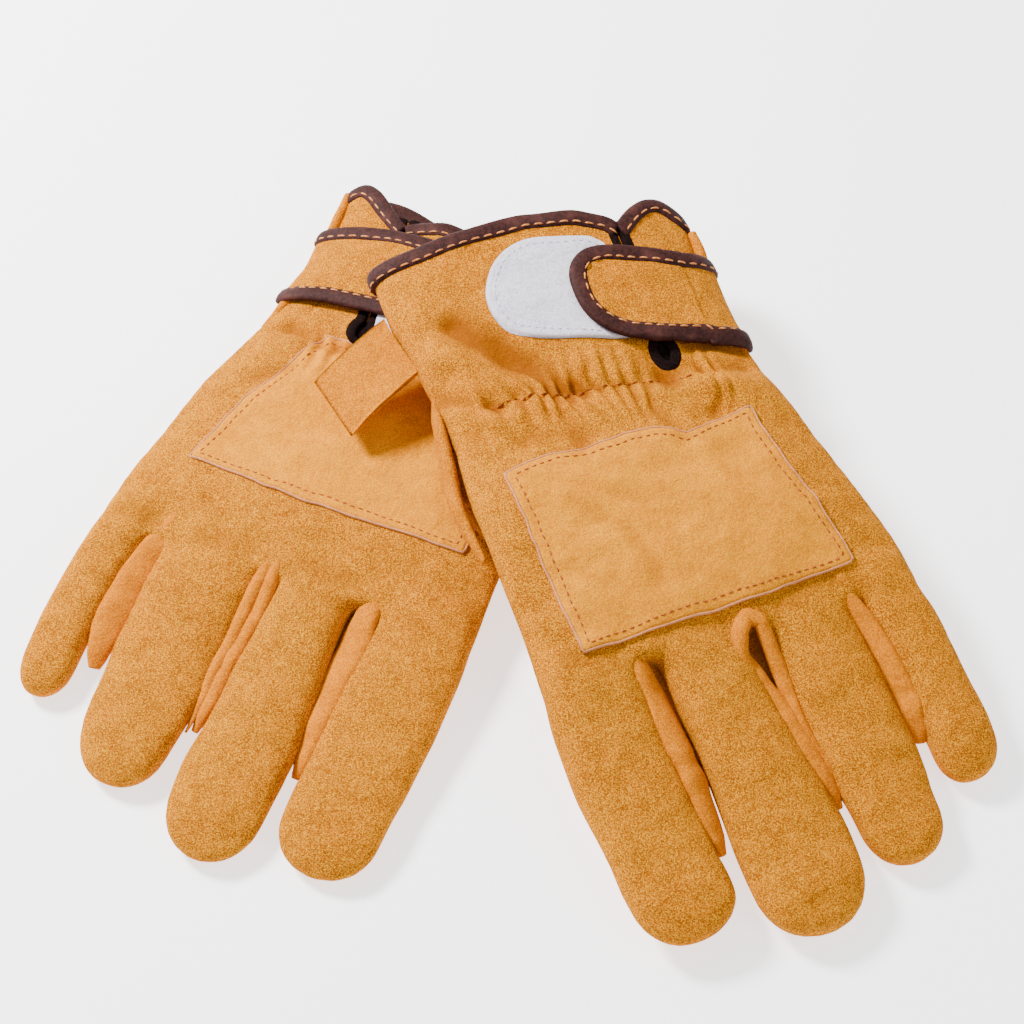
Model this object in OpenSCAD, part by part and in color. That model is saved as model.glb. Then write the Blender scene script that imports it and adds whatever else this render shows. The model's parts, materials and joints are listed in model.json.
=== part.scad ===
// A pair of hide work gloves, one lying on the other, backs up.
// Each glove is drawn as a left hand in its own frame: +Y to the cuff, -Y to the fingertips,
// -X to the thumb side and +Z out of the back of the hand, with Y = 0 on the finger crotches.

/* [Hand] */
// Width of the hand across the knuckles
palm_w = 126; // [118:1:130]
// Width of the cuff
cuff_w = 111; // [106:1:116]
// Distance from the finger crotches to the cuff edge
cuff_y = 161; // [155:1:166]
// Thickness of the hide
hide_t = 1.3; // [1:0.1:1.6]

/* [Fingers] */
// Length of the middle finger beyond the crotches
middle_len = 97; // [88:1:100]
// Width of the ring finger at its root, less its seam
finger_w = 31; // [29:0.5:32]
// Half height of the side strips between the fingers
strip_h = 4.5; // [3:0.5:5]

/* [Fittings] */
// Width of the wrist strap with its binding
strap_w = 35; // [30:1:38]
// Length of the strap beyond the side seam
strap_len = 54; // [48:1:56]
// Width of the bound edge
bind_w = 6; // [4:0.5:7]
// Width of the pull loop
loop_w = 24; // [16:1:26]
// Length of the pull loop
loop_len = 29; // [24:1:32]

/* [Hidden] */
side_l = -68;
side_r = palm_w + side_l;
cuff_r = cuff_w - 71;
sides = 28;
tube_sides = 20;
square_n = 2.6;
bind_out = 0.9;
slit_bind = 4.5;
pad_gap = 0.35;
pad_t = 1.2;
// Height of the side seam along the hand: [y, z]
seam = [
  [-120, 6], [-60, 7.5], [-15, 10.5], [0, 13], [12, 16], [30, 17.5],
  [59, 18], [84, 16], [100, 13.5], [130, 13], [180, 12.5]
];
// Sections of the hand: [left x, right x, y, bottom z, top z]
hand = [
  [-71.5, cuff_r + 3, cuff_y + 12, 1, 25],
  [-70, cuff_r, 141, 1, 24.5],
  [-67, cuff_r - 2, 120, 1.5, 23.5],
  [-65.5, cuff_r - 4, 102, 3.5, 22],
  [-66, cuff_r + 2, 84, 6.5, 24.5],
  [side_l, side_r - 6, 59, 9, 27.5],
  [side_l, side_r, 25, 9, 27],
  [side_l, side_r + 2, 10, 7, 25],
  [side_l - 1, side_r + 3.5, -3, 4.5, 21.5]
];
// Fingers: [root x, tip x, length, root width, tip width, tip height]
fingers = [
  [-52, -49.5, middle_len - 13, finger_w + 3.5, 33, 12.5],
  [-17, -11.5, middle_len - 2, finger_w + 2.5, 36, 12.5],
  [19, 24, middle_len - 12, finger_w + 1.5, 32, 12.5],
  [50, 54, middle_len - 31, finger_w - 4.5, 24, 12]
];
root_y = 8;
root_z = [6.5, 24];
mid_z = [0.8, 17.5];
// Sections of the thumb tube under the palm: [x, y, width, bottom z, top z, turn]
thumb = [
  [-53, 98, 24, 8, 16, -12],
  [-54, 80, 32, 3.4, 11.5, -14],
  [-51, 60, 33, 1.4, 8.8, -16],
  [-43, 30, 29, 0, 8.2, -18],
  [-37, 12, 22, 0.6, 7.4, -18],
  [-35, 7.5, 10, 1.8, 6.2, -18]
];
strap_turn = 16.7;
strap_root = [38.5, 119];
pad_turn = 14;
loop_at = [-69.8, 127.5, 13];
loop_turn = 6.6;
loop_drop = 21;
// How the two gloves lie: the upper one leans on the lower one
lower_press = 0.84;
lower_at = [-75.5, -32.4, 0];
lower_turn = -20.4;
upper_at = [70.8, -56.6, 9.8];
upper_turn = 20;
upper_lean = [6, 3];
row_shift = [2.37, 12.83, 0];

function oval(w, h, k) = [
  for (i = [0:k - 1])
    let (a = 360 * i / k, c = cos(a), s = sin(a))
      [w / 2 * sign(c) * pow(abs(c), 2 / square_n), h / 2 * sign(s) * pow(abs(s), 2 / square_n)]
];

// The ring of points round a tube at one place, grown by o all round
function ring(x, y, w, zb, zt, turn, o, k) = [
  for (p = oval(w + 2 * o, zt - zb + 2 * o, k))
    [x + p[0] * cos(turn), y + p[0] * sin(turn), (zb + zt) / 2 + p[1]]
];

// The stretch of a tube between two rings
module span(a, b) {
  k = len(a);
  hull()
    polyhedron(
      points = concat(a, b),
      faces = concat(
        [[for (i = [0:k - 1]) i], [for (i = [0:k - 1]) 2 * k - 1 - i]],
        [for (i = [0:k - 1]) [i, k + i, k + (i + 1) % k, (i + 1) % k]]
      )
    );
}

module tube(rings) {
  for (i = [0:len(rings) - 2])
    span(rings[i], rings[i + 1]);
}

function hand_rings(o) = [
  for (s = hand)
    let (last = s[2] < 0 ? o : 0)
      ring((s[0] + s[1]) / 2, s[2] - last, s[1] - s[0], s[3], s[4], 0, o, sides)
];

// A ring of a finger: u is the part of the length, c how far the tip has closed
function finger_ring(f, u, c, o) =
  let (
    run = root_y + f[2] + o,
    near = min(u / 0.45, 1),
    far = max((u - 0.45) / 0.55, 0),
    zb = root_z[0] + (mid_z[0] - root_z[0]) * near - mid_z[0] * far,
    zt = root_z[1] + (mid_z[1] - root_z[1]) * near + (f[5] - mid_z[1]) * far,
    w = f[3] + (f[4] - f[3]) * u,
    flat = pow(c, 0.7),
    mid = (zb + zt) / 2 - (1 - flat) * 1.5,
    half = (zt - zb + 2 * o) / 2 * flat
  )
  ring(f[0] + (f[1] - f[0]) * u, root_y - run * u, (w + 2 * o) * c, mid - half, mid + half, 0, 0, tube_sides);

finger_steps = [[0, 1], [0.22, 1], [0.45, 1], [0.7, 1], [0.87, 1], [0.94, 0.88], [0.98, 0.66], [1, 0.34]];

module glove_solid(o) {
  tube(hand_rings(o));
  for (f = fingers)
    tube([for (s = finger_steps) finger_ring(f, s[0], s[1], o)]);
}

function thumb_ring(i, o) =
  let (s = thumb[i], back = i == len(thumb) - 1 ? o : 0)
    ring(s[0] + back * 0.3, s[1] - back, s[2] + 2 * o, s[3] - o, s[4] + o, s[5], 0, tube_sides);

module thumb_solid(o) {
  tube([for (i = [0:len(thumb) - 1]) thumb_ring(i, o)]);
}

// Everything above the side seam, raised by dz
module above(dz) {
  top = [[180, 90], [-120, 90]];
  rotate([90, 0, 90])
    linear_extrude(260, center = true)
      polygon(concat([for (p = seam) [p[0], p[1] + dz]], top));
}

module column() {
  translate([0, 0, -40])
    linear_extrude(160)
      children();
}

// Plan shapes
module cuff_out() {
  polygon([
    [-120, cuff_y], [-71, cuff_y - 0.5], [-43, cuff_y + 0.5], [-13, cuff_y + 2], [8, cuff_y - 5.5],
    [21, cuff_y - 11], [31, cuff_y - 8], [40, cuff_y - 3.5], [52, cuff_y - 18], [120, cuff_y - 18],
    [120, 220], [-120, 220]
  ]);
}

module cuff_edge() {
  difference() {
    offset(delta = bind_w)
      cuff_out();
    cuff_out();
  }
}

module slit() {
  translate([13.2, 101])
    scale([1, 1.7])
      circle(r = 3, $fn = 20);
  polygon([[11.6, 101], [14.8, 101], [29, 176], [21, 176]]);
}

module slit_edge() {
  difference() {
    offset(r = slit_bind, $fn = 24)
      slit();
    slit();
    offset(delta = bind_w)
      cuff_out();
  }
}

module finger_gap(i) {
  a = fingers[i];
  b = fingers[i + 1];
  polygon([[a[0], 5], [b[0], 5], [b[1], -110], [a[1], -110]]);
}

module patch_shape() {
  offset(r = 2, $fn = 16)
    polygon([[-54, 70], [29, 68], [42, 9], [-52, 6]]);
}

module strap_shape() {
  translate(strap_root)
    rotate(180 - strap_turn)
      offset(r = 9, $fn = 32)
        translate([-21, 9 - strap_w / 2])
          square([strap_len + 12, strap_w - 18]);
}

module pad_shape() {
  difference() {
    translate([8, 126])
      rotate(180 - pad_turn)
        offset(r = 11, $fn = 32)
          translate([0, 11 - strap_w / 2])
            square([strap_w - 6, strap_w - 22]);
    offset(delta = slit_bind)
      slit();
    offset(delta = bind_w)
      cuff_out();
  }
}

// The hide of the hand: a wall hide_t thick, open at the cuff
module wall() {
  difference() {
    glove_solid(0);
    glove_solid(-hide_t);
    column()
      offset(delta = bind_w)
        cuff_out();
  }
}

module strips() {
  intersection() {
    difference() {
      above(-strip_h);
      above(strip_h);
    }
    column() {
      finger_gap(0);
      finger_gap(1);
      finger_gap(2);
    }
  }
}

// A layer on the back of the hand, between the offsets lo and hi
module layer(lo, hi, dz) {
  intersection() {
    difference() {
      glove_solid(hi);
      glove_solid(lo);
    }
    above(dz);
    column()
      children();
  }
}

module back_panel() {
  color([0.84, 0.55, 0.16])
    difference() {
      intersection() {
        wall();
        above(0);
      }
      strips();
      column()
        offset(r = slit_bind, $fn = 24)
          slit();
    }
}

module palm_panel() {
  color([0.82, 0.52, 0.15])
    difference() {
      wall();
      above(0);
      strips();
      thumb_solid(-hide_t);
    }
}

module fourchette(i) {
  color([0.92, 0.57, 0.11])
    intersection() {
      wall();
      strips();
      column()
        finger_gap(i);
    }
}

module thumb_wall() {
  difference() {
    thumb_solid(0);
    thumb_solid(-hide_t);
    glove_solid(0);
  }
}

module thumb_side(top) {
  cut = [[-20, 3.6], [30, 4.1], [60, 5.1], [80, 7.4], [120, 14], [120, 60], [-20, 60]];
  color([0.86, 0.55, 0.14])
    render()
      if (top)
        intersection() {
          thumb_wall();
          thumb_cut(cut);
        }
      else
        difference() {
          thumb_wall();
          thumb_cut(cut);
        }
}

module thumb_cut(cut) {
  rotate([90, 0, 90])
    linear_extrude(260, center = true)
      polygon(cut);
}

module back_patch() {
  color([0.93, 0.64, 0.22])
    layer(0, 1.5, 3)
      patch_shape();
}

module cuff_binding() {
  color([0.3, 0.2, 0.2])
    difference() {
      intersection() {
        difference() {
          glove_solid(bind_out);
          glove_solid(-hide_t - bind_out);
        }
        column()
          cuff_edge();
      }
      intersection() {
        above(0);
        column()
          slit();
      }
    }
}

module slit_binding() {
  color([0.3, 0.2, 0.2])
    layer(-hide_t - bind_out, bind_out, 2)
      slit_edge();
}

module elastic_band() {
  color([0.85, 0.83, 0.78])
    layer(-hide_t - 1, -hide_t, 2)
      polygon([[-54, 100], [6, 92.5], [24, 88], [23, 82.5], [5, 87], [-54, 94.5]]);
}

module loop_pad() {
  color([0.88, 0.86, 0.91])
    layer(0, pad_t, 2)
      pad_shape();
}

module strap_panel() {
  color([0.84, 0.55, 0.16])
    layer(pad_t + pad_gap + 1, pad_t + pad_gap + 2.4, 0)
      offset(delta = -bind_w)
        strap_shape();
}

module strap_binding() {
  color([0.3, 0.2, 0.2])
    layer(pad_t + pad_gap + 0.2, pad_t + pad_gap + 3, 0)
      difference() {
        strap_shape();
        offset(delta = -bind_w)
          strap_shape();
      }
}

module hook_pad() {
  color([0.2, 0.2, 0.22])
    layer(pad_t + pad_gap, pad_t + pad_gap + 1, 3)
      intersection() {
        offset(delta = -bind_w - 1)
          strap_shape();
        translate([strap_root[0] - 58, strap_root[1] - 30])
          square([40, 60]);
      }
}

// A loop of hide folded double, with its two ends sewn together in the seam
module loop_side() {
  polygon(concat(
    [for (i = [0:12]) let (a = 90 + 15 * i) [-loop_len + 3.1 + 3.1 * cos(a), 3.1 * sin(a)]],
    [[-9, -2.4], [0, -hide_t - 0.1], [1.2, 0], [0, hide_t + 0.1], [-9, 2.4]]
  ));
}

module pull_loop() {
  color([0.94, 0.62, 0.12])
    translate(loop_at)
      rotate([0, -loop_drop, loop_turn])
        rotate([90, 0, 0])
          linear_extrude(loop_w, center = true)
            difference() {
              loop_side();
              intersection() {
                offset(delta = -hide_t)
                  loop_side();
                translate([-60, -10])
                  square([54, 20]);
              }
            }
}

module upper() {
  translate(row_shift + upper_at)
    rotate([0, 0, upper_turn])
      rotate([upper_lean[0], 0, 0])
        rotate([0, upper_lean[1], 0])
          children();
}

module lower() {
  translate(row_shift + lower_at)
    rotate([0, 0, lower_turn])
      scale([1, 1, lower_press])
        mirror([1, 0, 0])
          children();
}

upper() back_panel();  // left_back_panel
upper() palm_panel();  // left_palm_panel
upper() fourchette(0);  // left_fourchette_index_middle
upper() fourchette(1);  // left_fourchette_middle_ring
upper() fourchette(2);  // left_fourchette_ring_little
upper() thumb_side(true);  // left_thumb_upper
upper() thumb_side(false);  // left_thumb_lower
upper() back_patch();  // left_back_patch
upper() cuff_binding();  // left_cuff_binding
upper() slit_binding();  // left_slit_binding
upper() elastic_band();  // left_elastic_band
upper() loop_pad();  // left_loop_pad
upper() strap_panel();  // left_strap_panel
upper() strap_binding();  // left_strap_binding
upper() hook_pad();  // left_hook_pad
upper() pull_loop();  // left_pull_loop
lower() back_panel();  // right_back_panel
lower() palm_panel();  // right_palm_panel
lower() fourchette(0);  // right_fourchette_index_middle
lower() fourchette(1);  // right_fourchette_middle_ring
lower() fourchette(2);  // right_fourchette_ring_little
lower() thumb_side(true);  // right_thumb_upper
lower() thumb_side(false);  // right_thumb_lower
lower() back_patch();  // right_back_patch
lower() cuff_binding();  // right_cuff_binding
lower() slit_binding();  // right_slit_binding
lower() elastic_band();  // right_elastic_band
lower() loop_pad();  // right_loop_pad
lower() strap_panel();  // right_strap_panel
lower() strap_binding();  // right_strap_binding
lower() hook_pad();  // right_hook_pad
lower() pull_loop();  // right_pull_loop
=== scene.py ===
import json
import math

import bpy
import numpy as np
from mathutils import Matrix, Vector
from mathutils.bvhtree import BVHTree


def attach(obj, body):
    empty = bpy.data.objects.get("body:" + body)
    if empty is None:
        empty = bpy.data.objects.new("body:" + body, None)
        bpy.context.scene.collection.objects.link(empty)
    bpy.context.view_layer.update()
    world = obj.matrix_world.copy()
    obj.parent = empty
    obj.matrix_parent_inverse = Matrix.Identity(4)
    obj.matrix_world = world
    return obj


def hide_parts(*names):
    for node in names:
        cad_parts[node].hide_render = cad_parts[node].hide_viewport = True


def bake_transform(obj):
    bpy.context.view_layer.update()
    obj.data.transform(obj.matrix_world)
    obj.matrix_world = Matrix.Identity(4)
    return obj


# Each glove is shaped as a left hand in its own frame, in millimetres: +Y to the cuff, -Y to the
# fingertips, -X to the thumb side and +Z out of the back of the hand. place() then lays it down.
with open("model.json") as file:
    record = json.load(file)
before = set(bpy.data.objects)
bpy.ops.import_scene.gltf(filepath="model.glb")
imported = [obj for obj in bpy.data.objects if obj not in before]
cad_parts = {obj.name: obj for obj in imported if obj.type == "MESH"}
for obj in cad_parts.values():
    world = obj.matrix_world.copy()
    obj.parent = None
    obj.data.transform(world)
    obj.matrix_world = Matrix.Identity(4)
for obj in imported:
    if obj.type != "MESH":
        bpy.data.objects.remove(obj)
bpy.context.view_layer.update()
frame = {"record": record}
MM = 0.001
JOINTS = {j["name"]: j for j in frame["record"]["behaviour"]["joints"]}

# Sections of the hand: left x, the left glove's right x, y, bottom z, top z
HAND = [
    (-68.5, 60.5, -3, 4.5, 21.0), (-68, 58.2, 10, 7, 24.5), (-68, 54.6, 25, 9, 26.5),
    (-68, 47.6, 59, 9, 27), (-66, 41, 84, 6.5, 24.5), (-65.5, 37.5, 100, 3.5, 22.5),
    (-67, 38, 120, 1.5, 23.5), (-70, 40, 141, 1, 24.5), (-72, 42, 176, 1, 25),
]
# The right glove's little-finger side: x, y
SIDE_LOW = [
    (63.5, -3), (63, 10), (61, 25), (55, 59), (48.5, 84), (43.5, 102), (39.8, 120), (40, 141), (42, 176),
]
# Fingers: (y, left x, right x) down the back, then the tip's y and height
FINGERS = {
    "left": {
        "index": ([(8, -66.5, -37.2), (-9, -68.6, -36.6), (-35, -67.8, -37.0), (-53, -66.3, -35.6),
            (-66, -65, -33.4), (-76, -63.5, -31.8)], -85, 12.5),
        "middle": ([(8, -29.8, -3.0), (-6, -29.4, -1.8), (-18, -29, -0.8), (-40, -28.6, 3.2),
            (-66, -29.6, 6.8), (-82, -28.6, 6.4)], -95, 12.5),
        "ring": ([(8, 5.0, 33.4), (-8, 5.5, 34.0), (-34, 6.6, 36.4), (-62, 9.4, 37.6),
            (-74, 10, 36.8)], -84, 12.5),
        "little": ([(8, 37.6, 56.0), (-10, 38.8, 60.2), (-28, 40.8, 62.4), (-46, 41.4, 63.6),
            (-56, 41.4, 63.4)], -66, 12),
    },
    "right": {
        "index": ([(8, -66.5, -36.6), (-9, -68.6, -36), (-35, -67.8, -33.5), (-53, -66.3, -33.0),
            (-66, -66, -33.2), (-76, -65.5, -33)], -88, 12.5),
        "middle": ([(8, -27.6, -1.4), (-6, -27, -1.2), (-18, -27, -0.6), (-40, -28.6, 1.2),
            (-66, -30, 2.8), (-82, -29.0, 1.6)], -95, 12.5),
        "ring": ([(8, 5.0, 39.0), (-8, 5.4, 39.8), (-34, 5.8, 40.6), (-62, 7.6, 39.4),
            (-74, 8.4, 36.0)], -82, 12.5),
        "little": ([(8, 43.6, 61.5), (-10, 46.4, 65.2), (-28, 48.8, 67.2), (-46, 49.4, 67.0),
            (-54, 49.0, 65.8)], -63, 12),
    },
}
# Where the fingers start, their bottom and top there and halfway, and how square a section is
ROOT_Y = 8
ROOT_Z = (6.5, 24)
MID_Z = (0.8, 17.5)
SQUARE_N = 2.6
TIP_FROM, TIP_SHARE = 0.84, 0.16
FINGER_SIDES = 44
HAND_SIDES = 110
HIDE = 1.3
PATCH_THICK = 1.35
PILE_THICK = 1.5
TAPE_WIDE = 6.2
# The height of the seam between the two hides: y, z
SEAM = [
    (-120, 6), (-60, 7.5), (-15, 10.5), (0, 13), (12, 16), (30, 17.5),
    (59, 18), (84, 16), (100, 13.5), (130, 13), (180, 12.5),
]
# Sections of the thumb tube under the palm: x, y, width, bottom z, top z, turn in degrees
THUMB = [
    (-53, 98, 24, 8, 16, -12), (-54, 80, 32, 3.4, 11.5, -14), (-51, 60, 33, 1.4, 8.8, -16),
    (-43, 30, 29, 0.3, 8.2, -18), (-38, 15, 24, 0.6, 7.6, -18), (-35.8, 9, 15, 1.4, 6.8, -18),
    (-35, 6.5, 6, 2.4, 5.8, -18),
]
# The cuff's edge on the back and on the palm side: x, y
BACK_EDGE = [
    (-90, 157), (-73, 157.5), (-45, 160), (-17, 160.4), (0, 156.5), (11, 151), (13.7, 146.5),
    (17, 149), (22, 152.8), (27, 155.3), (32, 155), (36, 150.5), (41, 145.5), (60, 144),
]
PALM_EDGE = [(-90, 157), (-70, 158), (8, 161), (25, 162), (38, 156), (44, 146), (60, 144)]
BACK_EDGE_LOW = [
    (-90, 148), (-45, 147), (-17, 148), (0, 149), (11, 146), (13.7, 143.5), (18, 147),
    (24, 152.5), (30, 158), (35, 160.5), (39, 158), (44, 153), (60, 152),
]
PALM_EDGE_LOW = [(-90, 148), (-45, 147), (-12, 153), (8, 162), (25, 166), (38, 162), (44, 154),
    (60, 152)]
# The slit in the back: its keyhole's place and half sizes, and its two sides at the cuff
KEYHOLE = (11.0, 97.5)
KEY_SIZE = (2.9, 5.0)
SLIT_TOP = (12.9, 15.0)
SLIT_X = 13.9
# Outlines laid on the back: the patch of each glove and the pile pad
PATCH = [
    (-55.5, 68.4), (-48, 69.4), (-40.6, 69.7), (-30.1, 68.4), (-22, 69.6), (-15.5, 70.3),
    (-6, 69.4), (0.5, 66.9), (4, 63.8), (10.5, 64.9), (20, 66.2), (27.6, 67.4), (33, 40),
    (39.5, 7.6), (0, 5.4), (-53.5, 4.6), (-55, 35),
]
PATCH_LOW = [
    (-56, 84), (-30, 87), (0, 89), (21.5, 90.2), (27, 76), (36, 50), (43, 27.6), (20, 25.6),
    (0, 24.4), (-30, 24), (-55.2, 24.6), (-57, 50),
]
PAD = [
    (9.5, 143), (-10, 149.5), (-19, 151.5), (-27, 149.5), (-34, 143), (-38.5, 134), (-39.5, 126),
        (-37, 119),
    (-30, 114.5), (-20, 111), (5.5, 102.5), (9, 112),
]
# The strap: where it leaves the side seam, the way it runs, half its width and its length
STRAP = {
    "left": {"root": (38.0, 112.5), "turn": math.radians(17.5),
        "half": 18.3, "len": 51.0, "slant": 0.33},
    "right": {"root": (38.0, 121.0), "turn": math.radians(2.0), "half": 17.6, "len": 50.0, "slant": 0.1},
}
STRAP_SIDE = 12.0
STRAP_TIP = 14
STRAP_TURN = (10, 13.5)
STRAP_LIFT = 2.0
# The pull loop: its hinge, and its two ends' corners
LOOP_SEAM = (-69.8, 127.5, 13.0)
LOOP_ROOT = ((-66.5, 118.5, 12.4), (-70.5, 141.5, 12.4))
LOOP_TIP = ((-92.5, 106.5, 4.6), (-97.5, 130.0, 4.6))

# Folds and ridges on the back: points, height (minus for a valley), half width
FOLDS = {
    "left": [
        ([(-51, 126), (-37, 107), (-25, 93)], -3.4, 4.2),
        ([(-58, 120), (-46, 103), (-36, 95)], 2.2, 4.5),
        ([(-66, 104), (-51, 95)], -2.4, 3.0),
        ([(-62, 97), (-52, 90), (-50, 82)], 1.8, 4.0),
        ([(5, 95), (8, 84), (18, 71)], -2.2, 3.2),
        ([(14, 80), (36, 73)], 2.8, 4.4),
        ([(20, 98), (37, 92)], -1.6, 2.6),
        ([(-60, 88), (-46, 78)], -1.6, 2.8),
        ([(14, 90), (34, 84)], -1.8, 2.6),
        ([(-45, 84), (-30, 74)], -1.2, 3.2),
        ([(-6, 84), (2, 73), (4, 62)], -1.4, 3.0),
        ([(27, 70), (36, 45)], 1.4, 4.0),
        ([(-62, 60), (-63, 30)], 1.2, 4.5),
        ([(-58, 4), (-44, 1)], -0.9, 3.0),
        ([(-24, 4), (-8, 0)], -0.8, 3.0),
        ([(12, 2), (30, 5)], -0.9, 3.2),
        ([(-40, 52), (-26, 36), (-22, 22)], -0.8, 2.2), ([(-36, 56), (-18, 44)], -0.6, 1.8),
        ([(4, 62), (10, 44), (22, 30)], 0.9, 4.0), ([(-46, 30), (-34, 18)], -0.6, 2.0),
        ([(-28, 82), (-26, 74), (-30, 66)], -1.0, 2.4), ([(-14, 100), (-10, 92)], 1.0, 2.6),
    ],
    "right": [
        ([(34, 90), (12, 86), (-6, 92)], -2.2, 3.2),
        ([(30, 84), (8, 79)], 1.8, 4.2),
        ([(-8, 104), (-30, 96)], -2.2, 4.0),
        ([(-40, 108), (-58, 95)], 1.8, 4.4),
        ([(44, 60), (40, 30)], 1.2, 4.2),
        ([(20, 76), (34, 66)], -1.2, 3.2),
        ([(-20, 84), (-34, 74)], -1.2, 3.0),
        ([(44, 4), (56, 2)], -1.0, 3.0),
        ([(12, 4), (28, 2)], -0.9, 3.0),
        ([(-26, 3), (-8, 5)], -0.9, 3.0),
    ],
}
# The gathered row on the back, and the length of one pucker
PUCKER = 6.4
GATHER = [(-56, 94.5), (-51.2, 94), (-32.5, 93.3), (-14.5, 90.5), (1.8, 87.5), (15.7, 85), (27, 82)]
# The hide turns warmer between these distances up the hand
WARM_FROM = (40, 110)
LOOK = {
    "left": {"seed": 11, "turn": (20.0, 6.0, 3.0), "press": 1.0, "mirror": 1.0},
    "right": {"seed": 47, "turn": (-20.4, 0.0, 0.0), "press": 0.84, "mirror": -1.0},
}


# ---------------------------------------------------------------- numbers
def step(x, lo, hi):
    t = np.clip((np.asarray(x, float) - lo) / (hi - lo), 0, 1)
    return t * t * (3 - 2 * t)


def noise_at(p, size, seed):
    """Smooth value noise from -1 to 1 with cells of size millimetres."""
    table = np.random.default_rng(seed).random((32, 32, 32)) * 2 - 1
    q = np.asarray(p, float) / np.asarray(size, float) + 500.0
    cell = np.floor(q).astype(int)
    f = q - cell
    f = f * f * (3 - 2 * f)
    out = np.zeros(len(q))
    for k in range(8):
        d = np.array([k & 1, k >> 1 & 1, k >> 2])
        c = (cell + d) % 32
        out += np.prod(np.where(d, f, 1 - f), axis=1) * table[c[:, 0], c[:, 1], c[:, 2]]
    return out


def along(points, values, width=7.0):
    """Values given at a few places, as a smooth function."""
    x = np.arange(min(points) - 3 * width, max(points) + 3 * width, 0.5)
    order = np.argsort(points)
    raw = np.interp(x, np.array(points, float)[order], np.array(values, float)[order])
    kernel = np.exp(-0.5 * (np.arange(-3 * width, 3 * width + 0.5, 0.5) / width) ** 2)
    pad = len(kernel) // 2
    flat = np.convolve(np.pad(raw, pad, mode="edge"), kernel / kernel.sum(), "valid")
    return lambda v: np.interp(v, x, flat[: len(x)])


def polyline_distance(xy, points):
    """Distance to a polyline, and how far along it the nearest point is."""
    best, where, run = np.full(len(xy), 1e9), np.zeros(len(xy)), 0.0
    for a, b in zip(np.array(points[:-1], float), np.array(points[1:], float)):
        d = b - a
        t = np.clip(((xy - a) @ d) / (d @ d), 0, 1)
        gap = np.linalg.norm(xy - a - t[:, None] * d, axis=1)
        near = gap < best
        best[near] = gap[near]
        where[near] = run + t[near] * np.linalg.norm(d)
        run += np.linalg.norm(d)
    return best, where


def resample(points, pitch, closed=False):
    p = np.array(points, float)
    if closed:
        p = np.vstack([p, p[:1]])
    s = np.concatenate([[0], np.cumsum(np.linalg.norm(np.diff(p, axis=0), axis=1))])
    n = max(int(round(s[-1] / pitch)), 3)
    t = np.linspace(0, s[-1], n + 1)
    if closed:
        t = t[:-1]
    return np.stack([np.interp(t, s, p[:, i]) for i in range(p.shape[1])], axis=1)


def rounded(points, rounds=2):
    """A closed outline with its corners cut smooth."""
    p = np.array(points, float)
    for _ in range(rounds):
        q = np.roll(p, -1, axis=0)
        p = np.stack([0.75 * p + 0.25 * q, 0.25 * p + 0.75 * q], axis=1).reshape(-1, p.shape[1])
    return p


hand_l = along([s[2] for s in HAND], [s[0] for s in HAND], 5)
hand_r = {
    "left": along([s[2] for s in HAND], [s[1] for s in HAND], 5),
    "right": along([s[1] for s in SIDE_LOW], [s[0] for s in SIDE_LOW], 5),
}
hand_b = along([s[2] for s in HAND], [s[3] for s in HAND], 5)
hand_t = along([s[2] for s in HAND], [s[4] for s in HAND], 5)
seam_z = along([s[0] for s in SEAM], [s[1] for s in SEAM], 5)
EDGES = {
    "left": [along(*zip(*BACK_EDGE), 1.2), along(*zip(*PALM_EDGE), 4)],
    "right": [along(*zip(*BACK_EDGE_LOW), 1.2), along(*zip(*PALM_EDGE_LOW), 4)],
}


# ---------------------------------------------------------------- meshes
def oval(angles, w, h, n=SQUARE_N):
    """Points on a squared oval, w wide and h high."""
    c, s = np.cos(angles), np.sin(angles)
    x = w / 2 * np.sign(c) * np.abs(c) ** (2 / n)
    z = h / 2 * np.sign(s) * np.abs(s) ** (2 / n)
    return x, z


def grid_faces(n, k, wrap=True):
    i, j = np.meshgrid(np.arange(n - 1), np.arange(k if wrap else k - 1), indexing="ij")
    j2 = (j + 1) % k
    f = np.stack([i * k + j, i * k + j2, (i + 1) * k + j2, (i + 1) * k + j], axis=-1)
    return f.reshape(-1, 4).tolist()


def tube(rings):
    """A closed tube through rings of points."""
    rings = np.array(rings, float)
    n, k, _ = rings.shape
    faces = grid_faces(n, k)
    faces.append(list(range(k))[::-1])
    faces.append([(n - 1) * k + i for i in range(k)])
    return rings.reshape(-1, 3), faces


def merge(parts):
    """Several meshes as one."""
    points, faces, base = [], [], 0
    for p, f in parts:
        points.append(p)
        faces += [[i + base for i in g] for g in f]
        base += len(p)
    return np.vstack(points), faces


def plain_mesh(points, faces, name="shape"):
    mesh = bpy.data.meshes.new(name)
    mesh.from_pydata(np.asarray(points, float).tolist(), [], faces)
    mesh.validate()
    mesh.update()
    return mesh


def read_mesh(mesh):
    co = np.empty(len(mesh.vertices) * 3)
    mesh.vertices.foreach_get("co", co)
    return co.reshape(-1, 3), [list(p.vertices) for p in mesh.polygons]


def with_modifiers(points, faces, settings):
    """The mesh after a list of Blender modifiers."""
    obj = bpy.data.objects.new("work", plain_mesh(points, faces))
    bpy.context.scene.collection.objects.link(obj)
    for kind, values in settings:
        mod = obj.modifiers.new(kind, kind)
        for key, value in values.items():
            setattr(mod, key, value)
    graph = bpy.context.evaluated_depsgraph_get()
    mesh = bpy.data.meshes.new_from_object(obj.evaluated_get(graph))
    out = read_mesh(mesh)
    bpy.data.objects.remove(obj)
    bpy.data.meshes.remove(mesh)
    return out


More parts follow.
